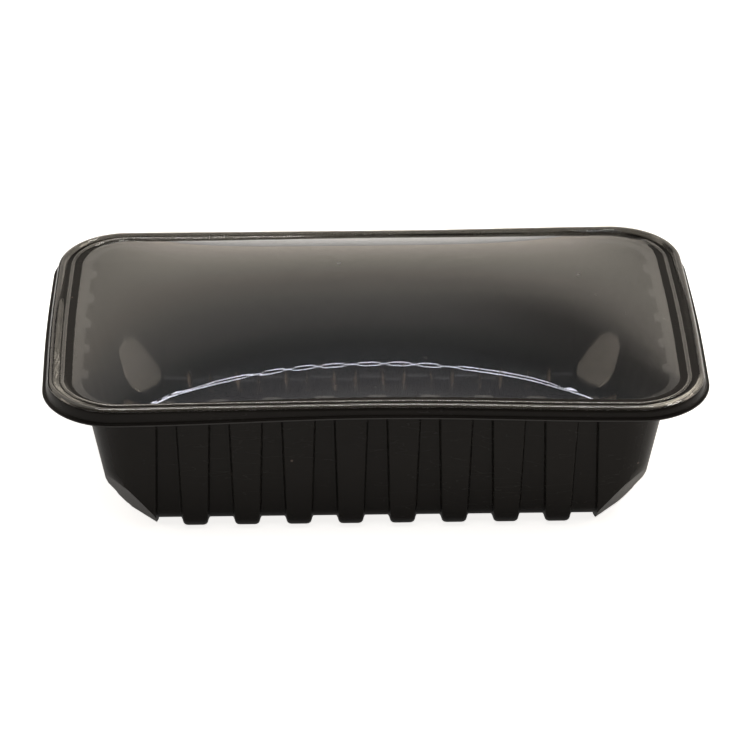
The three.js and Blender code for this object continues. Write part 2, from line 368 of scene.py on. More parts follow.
# %% [markdown]
# ## The pull of the film
#
# A film that has shrunk and filled with air pulls on the rim.  The long sides give way: their
# middles come in by nearly three millimetres and rise a little, while the ends stand out.
# Blender could do this with a lattice.  A short formula does the same, and both pieces use
# it, so they stay together.

# %% Bend by the film's tension
FRONT_PULL, BACK_PULL, SIDE_LIFT = 2.7, 1.5, 0.8
PULL_REACH = 105.0  # half the length of a side that gives way
LIP_HEIGHT = 57.4


def pulled(ring):
    """A ring as the film's pull bends it."""
    x, y, z = ring.T
    rise = np.minimum(1, z / LIP_HEIGHT)
    along = np.where(np.abs(x) < PULL_REACH, np.cos(np.pi * x / (2 * PULL_REACH)) ** 2, 0)
    across = y / (WIDTH / 2)
    pull = np.where(y < 0, FRONT_PULL, BACK_PULL)
    bulge = END_BULGE * rise ** 8 * np.cos(np.pi * y / WIDTH) ** 2
    return np.column_stack([
        x + bulge * x / (LENGTH / 2),
        y - pull * rise ** 2 * along * across,
        z + SIDE_LIFT * rise ** 2 * along * np.abs(across),
    ])


# %% A closed skin from a stack of rings
def skin_mesh(name, rings, band_finish, finishes, sharp_degrees):
    """Joins rings of equal length, from one pole to the other, into one closed mesh."""
    rings = np.array(rings) * MM
    count, around = rings.shape[:2]
    poles = [(0, 0, rings[0][:, 2].mean()), (0, 0, rings[-1][:, 2].mean())]
    points = np.vstack([rings.reshape(-1, 3), poles])
    first, last = count * around, count * around + 1
    here = np.arange(around)
    after = (here + 1) % around
    faces, finish = [], []
    for k in range(count - 1):
        low, high = k * around, (k + 1) * around
        quads = np.column_stack([low + here, low + after, high + after, high + here])
        faces += quads.tolist()
        finish += np.broadcast_to(band_finish[k], around).tolist()
    top = (count - 1) * around
    faces += [(first, int(b), int(a)) for a, b in zip(here, after)]
    faces += [(last, int(top + a), int(top + b)) for a, b in zip(here, after)]
    for band in (band_finish[0], band_finish[-1]):
        finish += np.broadcast_to(band, around).tolist()
    mesh = bpy.data.meshes.new(name)
    mesh.from_pydata(points.tolist(), [], faces)
    for material in finishes:
        mesh.materials.append(material)
    mesh.polygons.foreach_set("material_index", finish)
    mesh.shade_smooth()
    mesh.set_sharp_from_angle(angle=math.radians(sharp_degrees))
    mesh.update()
    piece = bpy.data.objects.new(name, mesh)
    bpy.context.scene.collection.objects.link(piece)
    print(name, "has", len(faces), "faces")
    return piece


def note_on_points(mesh, name, kind, field, values):
    """Keeps a value for each point of the mesh, with zeros for its two poles."""
    poles = np.zeros((2, *values.shape[1:]))
    layer = mesh.attributes.new(name, kind, "POINT")
    layer.data.foreach_set(field, np.vstack([values, poles]).ravel())


# %% [markdown]
# ## Marks that both finishes share
#
# Packaging is handled and stacked, so the black sheet and the film carry the same faint
# marks: dust specks and hair-thin scratches.  They could be painted on an image.  A node
# group makes them from noise instead, at real scale, and each finish uses it with its own
# values.

# %% Helpers for nodes
def node(tree, kind, **settings):
    """Adds a node with the given settings."""
    made = tree.nodes.new(kind)
    for name, value in settings.items():
        setattr(made, name, value)
    return made


def maths(tree, operation, first, second=None):
    """Adds a maths node for numbers or sockets and gives its result."""
    made = node(tree, "ShaderNodeMath", operation=operation)
    for socket, value in zip(made.inputs, (first, second)):
        if value is None:
            continue
        if isinstance(value, (int, float)):
            socket.default_value = value
        else:
            tree.links.new(value, socket)
    return made.outputs[0]


def ramp_between(tree, value, low, high):
    """Adds a node that goes smoothly from 0 at low to 1 at high."""
    made = node(tree, "ShaderNodeMapRange", interpolation_type="SMOOTHSTEP")
    tree.links.new(value, made.inputs["Value"])
    made.inputs["From Min"].default_value = low
    made.inputs["From Max"].default_value = high
    return made.outputs["Result"]


def new_finish(name):
    """A new material with its node tree and its main shader."""
    finish = bpy.data.materials.new(name)
    finish.use_nodes = True
    return finish, finish.node_tree, finish.node_tree.nodes["Principled BSDF"]


# %% Node group: handling marks
SPECK_SIZE = 0.22  # of a speck, as a share of its cell
SCRATCH_TURN, SCRATCH_STRETCH = (0.3, 0.5, 0.7), (1.0, 14.0, 6.0)
SCRATCH_WIDTH = 0.006
CLOUD_SCALE = 25.0


def make_handling_marks():
    """Specks, hair scratches and cloudiness as masks, placed by the object's own position."""
    group = bpy.data.node_groups.new("handling_marks", "ShaderNodeTree")
    for name, value in (("Dust Size", 900.0), ("Dust Amount", 0.5), ("Scratch Scale", 40.0)):
        socket = group.interface.new_socket(name, in_out="INPUT", socket_type="NodeSocketFloat")
        socket.default_value = value
    for name in ("Dust", "Scratches", "Clouds"):
        group.interface.new_socket(name, in_out="OUTPUT", socket_type="NodeSocketFloat")
    given = node(group, "NodeGroupInput")
    result = node(group, "NodeGroupOutput")
    place = node(group, "ShaderNodeNewGeometry").outputs["Position"]

    dots = node(group, "ShaderNodeTexVoronoi", feature="F1")
    group.links.new(place, dots.inputs["Vector"])
    group.links.new(given.outputs["Dust Size"], dots.inputs["Scale"])
    pick = node(group, "ShaderNodeSeparateColor")
    group.links.new(dots.outputs["Color"], pick.inputs["Color"])
    chosen = maths(group, "LESS_THAN", pick.outputs[0], given.outputs["Dust Amount"])
    close = maths(group, "LESS_THAN", dots.outputs["Distance"], SPECK_SIZE)
    group.links.new(maths(group, "MULTIPLY", chosen, close), result.inputs["Dust"])

    stretch = node(group, "ShaderNodeMapping")
    stretch.inputs["Rotation"].default_value = SCRATCH_TURN
    stretch.inputs["Scale"].default_value = SCRATCH_STRETCH
    group.links.new(place, stretch.inputs["Vector"])
    streaks = node(group, "ShaderNodeTexNoise")
    streaks.inputs["Detail"].default_value = 3.0
    group.links.new(stretch.outputs["Vector"], streaks.inputs["Vector"])
    group.links.new(given.outputs["Scratch Scale"], streaks.inputs["Scale"])
    off = maths(group, "ABSOLUTE", maths(group, "SUBTRACT", streaks.outputs["Fac"], 0.5))
    thin = maths(group, "SUBTRACT", 1.0, ramp_between(group, off, 0.0, SCRATCH_WIDTH))
    group.links.new(thin, result.inputs["Scratches"])

    clouds = node(group, "ShaderNodeTexNoise")
    clouds.inputs["Scale"].default_value = CLOUD_SCALE
    clouds.inputs["Detail"].default_value = 4.0
    group.links.new(place, clouds.inputs["Vector"])
    group.links.new(clouds.outputs["Fac"], result.inputs["Clouds"])
    return group


handling_marks = make_handling_marks()
print("node group:", handling_marks.name, [s.name for s in handling_marks.interface.items_tree])

# %% [markdown]
# ## The black sheet
#
# The sheet is coloured through, almost black, with a faint warm tone.  Seen head on it
# mirrors little, and at a flat angle it turns into a soft mirror, so the index of refraction
# and a middling roughness do most of the work.  Colour stays nearly even, with a little
# cloudiness, some dust and hair scratches.  The inside has a glossier sealing layer, and the
# cut edge of the rim is stressed and greyer, so these are finishes of their own.
#
# In the sharp steps between the feet, where the sheet is drawn thin, a warm brown light is
# painted into its colour.  The mesh will keep a measure of that painted light for each of its
# points.

# %% Finishes of the sheet
PAINTED_LIGHT_COLOUR = (0.14, 0.108, 0.083)  # painted light: a warm brown painted into the colour on the thin steps between the feet
TONE_SPREAD = 0.3  # how much darker and paler the clouds make the colour
SCRATCH_ROUGHNESS = 0.018
GRAIN_DEPTH = 0.00005  # in metres


def place_marks(tree, size, amount, scale):
    """Puts the handling marks into a material with its own values."""
    marks = node(tree, "ShaderNodeGroup", node_tree=handling_marks)
    marks.inputs["Dust Size"].default_value = size
    marks.inputs["Dust Amount"].default_value = amount
    marks.inputs["Scratch Scale"].default_value = scale
    return marks


def sheet_finish(name, colour, dusty, ior, rough, rough_spread, dust, bump):
    """Black sheet of a given colour, gloss and dustiness, with painted light where the mesh marks
    it.
    """
    finish, tree, shader = new_finish(name)
    shader.inputs["IOR"].default_value = ior
    marks = place_marks(tree, size=420.0, amount=dust, scale=28.0)

    tone = node(tree, "ShaderNodeMix", data_type="RGBA")
    for socket, share in (("A", 1 - TONE_SPREAD), ("B", 1 + TONE_SPREAD)):
        tone.inputs[socket].default_value = (*[share * part for part in colour], 1)
    tree.links.new(marks.outputs["Clouds"], tone.inputs["Factor"])
    dusted = node(tree, "ShaderNodeMix", data_type="RGBA")
    dusted.inputs["B"].default_value = (*dusty, 1)
    tree.links.new(tone.outputs["Result"], dusted.inputs["A"])
    tree.links.new(marks.outputs["Dust"], dusted.inputs["Factor"])
    # painted light: a warm brown mixed into the colour by the mesh's measure, on the steps between
    # the feet
    painted_light_attribute = node(tree, "ShaderNodeAttribute", attribute_name="painted_light_share")
    with_painted_light = node(tree, "ShaderNodeMix", data_type="RGBA")
    with_painted_light.inputs["B"].default_value = (*PAINTED_LIGHT_COLOUR, 1)
    tree.links.new(dusted.outputs["Result"], with_painted_light.inputs["A"])
    tree.links.new(painted_light_attribute.outputs["Fac"], with_painted_light.inputs["Factor"])
    tree.links.new(with_painted_light.outputs["Result"], shader.inputs["Base Color"])

    worn = maths(tree, "MULTIPLY", marks.outputs["Clouds"], rough_spread)
    worn = maths(tree, "ADD", worn, rough - rough_spread / 2)
    scuffed = maths(tree, "MULTIPLY", marks.outputs["Scratches"], SCRATCH_ROUGHNESS)
    tree.links.new(maths(tree, "ADD", worn, scuffed), shader.inputs["Roughness"])

    height = node(tree, "ShaderNodeBump")
    height.inputs["Distance"].default_value = GRAIN_DEPTH
    height.inputs["Strength"].default_value = bump
    tree.links.new(marks.outputs["Clouds"], height.inputs["Height"])
    tree.links.new(height.outputs["Normal"], shader.inputs["Normal"])
    return finish


black_sheet = sheet_finish(
    "black_sheet", colour=(0.0108, 0.0093, 0.0079), dusty=(0.09, 0.07, 0.06),
    ior=1.23, rough=0.26, rough_spread=0.06, dust=0.002, bump=0.2)
sealing_layer = sheet_finish(
    "sealing_layer", colour=(0.0045, 0.0041, 0.0038), dusty=(0.12, 0.11, 0.1),
    ior=1.5, rough=0.2, rough_spread=0.08, dust=0.01, bump=0.2)
cut_edge = sheet_finish(
    "cut_edge", colour=(0.016, 0.0145, 0.013), dusty=(0.1, 0.09, 0.08),
    ior=1.45, rough=0.5, rough_spread=0.1, dust=0.0, bump=0.3)
print("sheet finishes:", black_sheet.name, sealing_layer.name, cut_edge.name)

# %% [markdown]
# ## The tray
#
# Now the rings are stacked: from the middle of the underside out to the feet, up the outside
# of the walls, round the rim, and down the inside to the floor.  It is one closed skin with
# the sheet's real thickness between its two sides.

# %% The tray's rings
BLACK, SEALING, CUT = 0, 1, 2
FLOOR_MIDDLE = np.array([0.7, 0.5, 1])  # the last ring of the floor beside the one before
CUT_BANDS = 6  # bands of rings on the cut edge


def tray_rings():
    """The tray's rings, and the finish of the band after each."""
    rim = range(len(rim_top))
    under = rim_rings(sheet_columns, rim, SHEET)[1:] + lower_rings(sheet_columns, 0.0)
    upper = rim_rings(sheet_columns, rim) + lower_rings(sheet_columns, SHEET)
    floor_in = [ring * FLOOR_MIDDLE for ring in (under[-1], upper[-1])]
    rings = [floor_in[0]] + under[::-1] + upper + [floor_in[1]]
    finish = [BLACK] * len(rings)
    lip = 1 + len(under)
    finish[lip - 1 : lip - 1 + CUT_BANDS] = [CUT] * CUT_BANDS
    for band in range(lip + LAND_INNER, len(rings)):
        finish[band] = SEALING
    return [pulled(ring) for ring in rings], finish


# %% Where light is painted on the thin steps
# Painted light, ring by ring down the inside: most in the bend and on the first rings of the foot.
PAINTED_LIGHT_RINGS, PAINTED_LIGHT_DOWN = (13, 16, 21, 24), (0, 1, 0.8, 0)
PAINTED_LIGHT_OUTWARD = 0.4  # share of the painted light on the side of a channel that is away from the middle


def painted_light_places(count):
    """How much warm light is painted into the colour: only inside, on the steps between the feet.
    """
    step = 4 * sheet_columns.lift_share * (1 - sheet_columns.lift_share)
    outward = sheet_columns.sign * sheet_columns.centre > 0
    step = step * np.where(outward, PAINTED_LIGHT_OUTWARD, 1)
    ring = np.arange(len(WALL_STEPS) + len(BEND_STEPS) + len(FOOT_STEPS))
    down = np.interp(ring, PAINTED_LIGHT_RINGS, PAINTED_LIGHT_DOWN)
    share = np.zeros((count, len(step)))
    share[count - 1 - len(ring) : count - 1] = down[:, None] * step
    return share


# %% Make the tray
sheet_rings, sheet_bands = tray_rings()
sheet_finishes = (black_sheet, sealing_layer, cut_edge)
tray = skin_mesh("tray_sheet", sheet_rings, sheet_bands, sheet_finishes, 32)
# painted light on the steps between the feet, kept for each point of the mesh
painted_light_share = painted_light_places(len(sheet_rings)).reshape(-1, 1)
note_on_points(tray.data, "painted_light_share", "FLOAT", "value", painted_light_share)
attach(tray, "root")
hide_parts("tray")

# %% [markdown]
# ## The film
#
# The film is thinner than paper.  On the land it is welded down and can't be told from the
# sheet, so there it lies just inside the sheet's surface.  It comes free at the bead, at the
# weld rib and inside the land, where it rises as a dome.  Along the back the dome starts
# further out, right behind the weld rib.
#
# A cloth simulation could blow up the dome.  The shape of a thin sheet under even pressure
# follows from a formula, though, and that is exact, fast and the same each time.
#
# The film is a stack of rings like the tray.  Its outer rings follow the rim's own rings and
# only add a small height, so the film can't cut through the sheet anywhere.

# %% Columns of the film
FILM = 0.12  # thickness


def film_columns():
    """Columns of even spacing: the film has no ribs."""
    rows = []
    for side, (reach, count) in enumerate([(96, 97), (48, 61)] * 2):
        for along in np.linspace(-reach, reach, count):
            rows.append((side, along, 0, 0, 0, 0, np.nan))
        rows += corner_rows(side, 30)
    return Columns(rows)


film_cols = film_columns()
print("columns of the film:", len(film_cols.side))

# %% Where the film leaves the rim
HEM, BEAD_END = station_at(1.7), station_at(3.2)  # trimmed edge, and where the bead ends
RIB_FROM, RIB_TO = station_at(4.85), station_at(5.75)
BACK_INSET, BACK_INSET_FALL = 5.7, 1.9  # at the left of the back, and how much less at its right


def leaving_station():
    """The station where the film leaves the rim: at the land's end, and along the back at
    the weld rib, further out from left to right."""
    corner, turn = film_cols.corner, film_cols.turn
    into_back = corner & (film_cols.side == BACK - 1)
    out_of_back = corner & (film_cols.side == BACK)
    on_back = np.where(into_back, turn, 0) + np.where(out_of_back, 1 - turn, 0)
    on_back += ~corner & (film_cols.side == BACK)
    across = plan(film_cols, LENGTH / 2, WIDTH / 2, LIP_RADIUS)[:, 0]
    inset = BACK_INSET - BACK_INSET_FALL * soft_step(across, -60, 110)
    back_station = np.interp(inset, rim_top[:, 1], np.arange(len(rim_top)))
    return LAND_INNER + (back_station - LAND_INNER) * on_back


leaves_at = leaving_station()
print("film leaves the rim between stations", leaves_at.min().round(1), "and", leaves_at.max())

# %% [markdown]
# ## Creases and dull places
#
# On the left end and the right front corner the film wasn't welded flat, and stands up in
# fine creases.  Where the sealing jaw held it, it is a little dull.  Both could be painted on
# an image.  Here they are measures of each point of the mesh: the creases lift the mesh, and
# both are kept on it, so that the finish can turn hazy in the same places.

# %% Creased and dull places
def waves(place, lengths, count, seed):
    """A sum of waves of random length and phase along place, about 1 high."""
    dice = np.random.RandomState(seed)
    total = np.zeros_like(place)
    for length in dice.uniform(*lengths, count):
        total += np.sin(2 * np.pi * place / length + dice.uniform(0, 2 * np.pi))
    return total / math.sqrt(count)


def looseness(flat):
    """How loose the film is on the left end's front half, and on the right front corner."""
    x, y = flat.T
    left = soft_step(-x, 96, 120) * (1 - soft_step(y, -30, 60))
    right = soft_step(x, 96, 114) * soft_step(-y, 44, 62)
    return left, right


LEFT_CREASES, RIGHT_CREASES = 0.65, 2  # how strong they are
FRONT_VEIL = 0.35  # how dull the front is beside the back


def creasing(flat, station):
    """How creased the film is: on the left beside the bead, on the right on the bead itself."""
    left, right = looseness(flat)
    left = LEFT_CREASES * left * soft_step(station, BEAD_END, BEAD_END + 4)
    left = left * (1 - soft_step(station, RIB_FROM - 5, RIB_FROM))
    right = right * soft_step(station, HEM + 2, HEM + 8)
    right = right * (1 - soft_step(station, BEAD_END, BEAD_END + 6))
    return left + RIGHT_CREASES * right


def veiled(flat, station):
    """How dull the film is where the sealing jaw held it: all of it at the back, less in front."""
    back = soft_step(flat[:, 1], 50, 68) * soft_step(station, HEM, HEM + 4)
    front = soft_step(-flat[:, 1], 45, 62) * soft_step(station, HEM, HEM + 4)
    return back + FRONT_VEIL * front * (1 - soft_step(station, RIB_TO, RIB_TO + 4))


# %% How high the film stands over the sheet
WELDED = -0.22  # the skin's underside lies inside the sheet where it is welded down
FREE_RISE = 0.28  # and this much higher where it is free
CREASE_HEIGHT, RIPPLE_HEIGHT = 0.1, 0.01
END_FROM = 112  # further out than this, creases run along the end


def free_height(flat, station):
    """How high the film's underside is over the sheet's top."""
    x, y = flat.T
    bead_end = BEAD_END + 8 * soft_step(y, 0, 50)
    on_bead = 1 - soft_step(station, bead_end - 2, bead_end + 2)
    on_rib = soft_step(station, RIB_FROM - 1.5, RIB_FROM + 0.5)
    on_rib *= 1 - soft_step(station, RIB_TO - 0.5, RIB_TO + 1.5)
    free = np.clip(on_bead + on_rib, 0, 1)
    loose = creasing(flat, station)
    lift = WELDED + FREE_RISE * np.maximum(free, np.minimum(loose, 1))
    along = np.where(np.abs(x) > END_FROM, y, x)
    creases = waves(along + 0.35 * station, (1.6, 5.5), 6, 7)
    ripples = waves(along - 0.1 * station, (5, 14), 4, 3)
    return lift + CREASE_HEIGHT * loose * np.abs(creases) + RIPPLE_HEIGHT * on_bead * ripples


# %% [markdown]
# ## The dome
#
# The dome's rise has to be zero on the film's own edge, which is a rounded rectangle that
# reaches further out along the back, most at the back's right end.  The rise is a plain bowl
# plus a sum of waves that carry no load, and the sum is chosen by least squares so that the
# total vanishes on the edge.  A sculpted dome would never mirror the room as evenly as this.

# %% Rise of the dome
DOME_HEIGHT = 15.0
DOME_WAVES = 22


class Dome:
    """The rise of a thin film under even pressure, 0 on its edge and 1 at its highest."""

    def __init__(self, edge):
        self.middle = (edge[:, 1].max() + edge[:, 1].min()) / 2
        self.size = edge[:, 0].max()
        place = self.turned(edge)
        self.shares = np.linalg.lstsq(self.waves(place), np.abs(place) ** 2 / 4, rcond=None)[0]
        self.top = self.raw(np.array([(0.0, self.middle)]))[0]
        print("dome's misfit on its edge:", round(float(np.abs(self(edge)).max()), 4))

    def turned(self, flat):
        """Places as complex numbers, with the real part towards the back."""
        return ((flat[:, 1] - self.middle) + 1j * flat[:, 0]) / self.size

    def waves(self, place):
        """Waves that carry no load: the real and the imaginary parts of the powers."""
        powers = [place ** k for k in range(DOME_WAVES)]
        real = [power.real for power in powers]
        imaginary = [power.imag for power in powers[1:]]
        return np.column_stack(real + imaginary)

    def raw(self, flat):
        """The rise before it is scaled to 1."""
        place = self.turned(flat)
        return self.waves(place) @ self.shares - np.abs(place) ** 2 / 4

    def __call__(self, flat):
        return self.raw(flat) / self.top


# %% Helpers for the film's rings
rim_stack = np.array(rim_rings(film_cols, range(len(rim_top))))


def on_rim(station):
    """A ring of the rim with a station of its own for each column."""
    low = np.floor(station).astype(int)
    share = (station - low)[:, None]
    each = np.arange(len(station))
    high = np.minimum(low + 1, len(rim_stack) - 1)
    return rim_stack[low, each] * (1 - share) + rim_stack[high, each] * share


def smoothed(around, half=14):
    """Averages a closed ring of values over its neighbours, three times."""
    for _ in range(3):
        looped = np.concatenate([around[-half:], around, around[:half]])
        around = np.convolve(looped, np.full(2 * half + 1, 1 / (2 * half + 1)), "valid")
    return around


# %% Make the film's rings
HEM_RINGS = 64  # rings from the trimmed edge to the dome
DOME_SCALES = np.cos(np.linspace(0, math.pi / 2, 56)[1:-1]) ** 0.8  # of the dome's own rings
WAVE_FADE, NOTCH_FADE = 3, 80  # how fast the edge's long and short waves die away inwards
MISFIT_FADE = 4


def film_rings(lift):
    """Rings from the trimmed edge to the dome's top, and how creased and dull each point is."""
    rings, creased, dulled = [], [], []
    for share in np.linspace(0, 1, HEM_RINGS):
        station = HEM + (leaves_at - HEM) * share
        ring = on_rim(station)
        creased.append(creasing(ring[:, :2], station))
        dulled.append(veiled(ring[:, :2], station))
        ring[:, 2] += lift + free_height(ring[:, :2], station)
        rings.append(ring)
    edge = rings[-1]
    rise = Dome(edge[:, :2])
    at_edge = rise(edge[:, :2])
    level = edge[:, 2].mean()
    soft = smoothed(edge[:, 2])
    for scale in DOME_SCALES:
        ring = np.column_stack([
            edge[:, 0] * scale,
            rise.middle + (edge[:, 1] - rise.middle) * scale,
            level
            + (soft - level) * scale ** WAVE_FADE
            + (edge[:, 2] - soft) * scale ** NOTCH_FADE,
        ])
        share = rise(ring[:, :2]) - at_edge * scale ** MISFIT_FADE
        ring[:, 2] += DOME_HEIGHT * share
        rings.append(ring)
        creased.append(np.zeros(len(ring)))
        dulled.append(np.zeros(len(ring)))
    return rings, creased, dulled


under_film, under_creased, under_dulled = film_rings(0.0)
over_film, over_creased, over_dulled = film_rings(FILM)
film_stack = [pulled(ring) for ring in under_film[::-1] + over_film]
crease_share = np.array(under_creased[::-1] + over_creased)
veil_share = np.array(under_dulled[::-1] + over_dulled)
print("dome's top in mm:", round(film_stack[-1][:, 2].max(), 2))

# %% [markdown]
# ## Clear film as a finish
#
# Clear film is seen only by what it mirrors: nearly nothing head on, and most of the light at
# a flat angle.  Real glass shading on a closed thin skin gives this by itself, from both of
# its surfaces.  Rays that go to a lamp pass straight through, so the film doesn't shade the
# tray.
#
# The creased and held places have a finish of their own.  It is the same clear film, mixed
# with a little milky haze by the measures that the mesh keeps.

# %% Finish of the clear film
FILM_IOR = 1.5
FILM_ROUGH, FILM_ROUGH_SPREAD = 0.004, 0.012
SPECK_ROUGHNESS = 0.5


def film_finish(name):
    """Clear film that casts no shadow."""
    finish, tree, shader = new_finish(name)
    shader.inputs["Base Color"].default_value = (1, 1, 1, 1)
    shader.inputs["IOR"].default_value = FILM_IOR
    shader.inputs["Transmission Weight"].default_value = 1.0
    marks = place_marks(tree, size=300.0, amount=0.002, scale=22.0)
    worn = maths(tree, "MULTIPLY", marks.outputs["Clouds"], FILM_ROUGH_SPREAD)
    worn = maths(tree, "ADD", worn, FILM_ROUGH)
    dusty = maths(tree, "MULTIPLY", marks.outputs["Dust"], SPECK_ROUGHNESS)
    tree.links.new(maths(tree, "ADD", worn, dusty), shader.inputs["Roughness"])
    clear = node(tree, "ShaderNodeBsdfTransparent")
    path = node(tree, "ShaderNodeLightPath")
    both = node(tree, "ShaderNodeMixShader")
    tree.links.new(path.outputs["Is Shadow Ray"], both.inputs["Fac"])
    tree.links.new(shader.outputs["BSDF"], both.inputs[1])
    tree.links.new(clear.outputs["BSDF"], both.inputs[2])
    tree.links.new(both.outputs["Shader"], tree.nodes["Material Output"].inputs["Surface"])
    return finish


# %% Finish of the creased film
HAZE_COLOUR, HAZE_ROUGHNESS = (0.62, 0.58, 0.5), 0.3
HAZE_EVEN, HAZE_STREAKS = 0.04, 0.2  # how much haze a crease has all over, and in streaks
HAZE_VEIL = 0.09  # and a dull place


def creased_finish(name):
    """Clear film that turns hazy by the mesh's own measures of creases and dullness."""
    finish = film_finish(name)
    tree = finish.node_tree
    clear = tree.nodes["Principled BSDF"]
    haze = node(tree, "ShaderNodeBsdfPrincipled")
    haze.inputs["Base Color"].default_value = (*HAZE_COLOUR, 1)
    haze.inputs["IOR"].default_value = FILM_IOR
    haze.inputs["Roughness"].default_value = HAZE_ROUGHNESS
    creased = node(tree, "ShaderNodeAttribute", attribute_name="crease_share")
    place = node(tree, "ShaderNodeAttribute", attribute_name="hem_place")
    streaks = node(tree, "ShaderNodeTexNoise")
    streaks.inputs["Scale"].default_value = 1.0
    streaks.inputs["Detail"].default_value = 3.0
    tree.links.new(place.outputs["Vector"], streaks.inputs["Vector"])
    fine = ramp_between(tree, streaks.outputs["Fac"], 0.35, 0.65)
    share = maths(tree, "ADD", maths(tree, "MULTIPLY", fine, HAZE_STREAKS), HAZE_EVEN)
    share = maths(tree, "MULTIPLY", share, creased.outputs["Fac"])
    veil = node(tree, "ShaderNodeAttribute", attribute_name="veil_share")
    dull = maths(tree, "MULTIPLY", veil.outputs["Fac"], HAZE_VEIL)
    share = maths(tree, "ADD", share, dull)
    both = node(tree, "ShaderNodeMixShader")
    tree.links.new(share, both.inputs["Fac"])
    behind = clear.outputs["BSDF"].links[0].to_socket
    tree.links.new(clear.outputs["BSDF"], both.inputs[1])
    tree.links.new(haze.outputs["BSDF"], both.inputs[2])
    tree.links.new(both.outputs["Shader"], behind)
    return finish


clear_film = film_finish("clear_film")
creased_film = creased_finish("creased_film")
print("film finishes:", clear_film.name, creased_film.name)

# %% Make the film
STREAK_LENGTH, STREAK_WIDTH = 14.0, 0.45

marked = crease_share + veil_share
film_bands = [(share > 0).astype(int) for share in np.maximum(marked[:-1], marked[1:])]
film_bands += film_bands[-1:]
film = skin_mesh("film_dome", film_stack, film_bands, (clear_film, creased_film), 60)


def hem_places():
    """Along the rim and across it, stretched so that a noise becomes long streaks."""
    ring = film_stack[-1 - len(DOME_SCALES)][:, :2]
    along = np.concatenate([[0], np.cumsum(np.hypot(*np.diff(ring, axis=0).T))])
    across = np.array([np.hypot(*(ring - layer[:, :2]).T) for layer in film_stack])
    along = np.broadcast_to(along, across.shape)
    return np.stack([along / STREAK_LENGTH, across / STREAK_WIDTH, 0 * across], -1)


note_on_points(film.data, "crease_share", "FLOAT", "value", crease_share.reshape(-1, 1))
note_on_points(film.data, "veil_share", "FLOAT", "value", veil_share.reshape(-1, 1))
note_on_points(film.data, "hem_place", "FLOAT_VECTOR", "vector", hem_places().reshape(-1, 3))
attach(film, "root")
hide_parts("lid_film")

# %% [markdown]
# ## The studio
#
# The film shows the room, so the room matters.  In the photograph the light is warm and
# bright near the table and fades to a cool grey higher up, and the side of the camera is
# dark.  A sky made of blends gives that: one by height, one from front to back, and one that
# shades the upper right.

# %% Light of the room
ROOM_BY_HEIGHT = (  # height of the direction in degrees, colour
    (-90, (0.78, 0.70, 0.60)),
    (-2, (0.78, 0.70, 0.60)),
    (5, (0.72, 0.65, 0.57)),
    (15, (0.65, 0.60, 0.52)),
    (27, (0.57, 0.52, 0.46)),
    (35, (0.50, 0.47, 0.43)),
    (45, (0.44, 0.42, 0.40)),
    (50, (0.39, 0.38, 0.36)),
    (55, (0.31, 0.31, 0.30)),
    (60, (0.26, 0.26, 0.26)),
    (66, (0.29, 0.30, 0.31)),
    (76, (0.46, 0.45, 0.47)),
    (82, (0.72, 0.71, 0.72)),
    (90, (0.80, 0.79, 0.80)),
)
FRONT_SHARE = 0.06  # how bright the camera's side is beside the back
RIGHT_SHADE = 0.55  # how much darker the room is high up on the right

# Parts of the direction between which the blends run.
FRONT_TO_BACK, SHADED_SIDE, SHADED_HEIGHT = (-0.35, 0.1), (0.02, 0.24), (0.38, 0.64)


def make_room():
    """The sky of blends, by the direction's height, depth and side."""
    room = bpy.data.worlds.new("studio_room")
    bpy.context.scene.world = room
    room.use_nodes = True
    tree = room.node_tree
    towards = node(tree, "ShaderNodeTexCoord").outputs["Generated"]
    parts = node(tree, "ShaderNodeSeparateXYZ")
    tree.links.new(towards, parts.inputs[0])
    height = maths(tree, "MULTIPLY", maths(tree, "ADD", parts.outputs["Z"], 1.0), 0.5)
    blend = node(tree, "ShaderNodeValToRGB")
    tree.links.new(height, blend.inputs["Fac"])
    stops = blend.color_ramp.elements
    while len(stops) < len(ROOM_BY_HEIGHT):
        stops.new(0.5)
    for stop, (degrees, colour) in zip(stops, ROOM_BY_HEIGHT):
        stop.position = (math.sin(math.radians(degrees)) + 1) / 2
        stop.color = (*colour, 1)
    back = ramp_between(tree, parts.outputs["Y"], *FRONT_TO_BACK)
    share = maths(tree, "ADD", maths(tree, "MULTIPLY", back, 1 - FRONT_SHARE), FRONT_SHARE)
    right = ramp_between(tree, parts.outputs["X"], *SHADED_SIDE)
    high = ramp_between(tree, parts.outputs["Z"], *SHADED_HEIGHT)
    shade = maths(tree, "MULTIPLY", maths(tree, "MULTIPLY", right, high), RIGHT_SHADE)
    share = maths(tree, "MULTIPLY", share, maths(tree, "SUBTRACT", 1.0, shade))
    light = tree.nodes["Background"]
    tree.links.new(blend.outputs["Color"], light.inputs["Color"])
    tree.links.new(share, light.inputs["Strength"])
    print("room has", len(stops), "steps of light")


make_room()

# %% [markdown]
# ## The table and its lamps
#
# The table is a light table: pale, and glowing a little by itself, more so for the camera, as
# in a product photograph that is exposed for a white ground.  A large softbox overhead lights
# it evenly.  The film would show that softbox as a hard white shape, so the softbox is hidden
# from mirroring rays.

# %% The table
TABLE_HALF = 4.0
SOFT_WHITE = (1.0, 0.985, 0.965)
TABLE_GLOW, CAMERA_GLOW = 0.15, 0.72  # its own glow, and how much more of it the camera sees


def sheet_of_card(name, corners, finish):
    """One flat face."""
    mesh = bpy.data.meshes.new(name)
    mesh.from_pydata(corners, [], [(0, 1, 2, 3)])
    mesh.materials.append(finish)
    card = bpy.data.objects.new(name, mesh)
    bpy.context.scene.collection.objects.link(card)
    return card


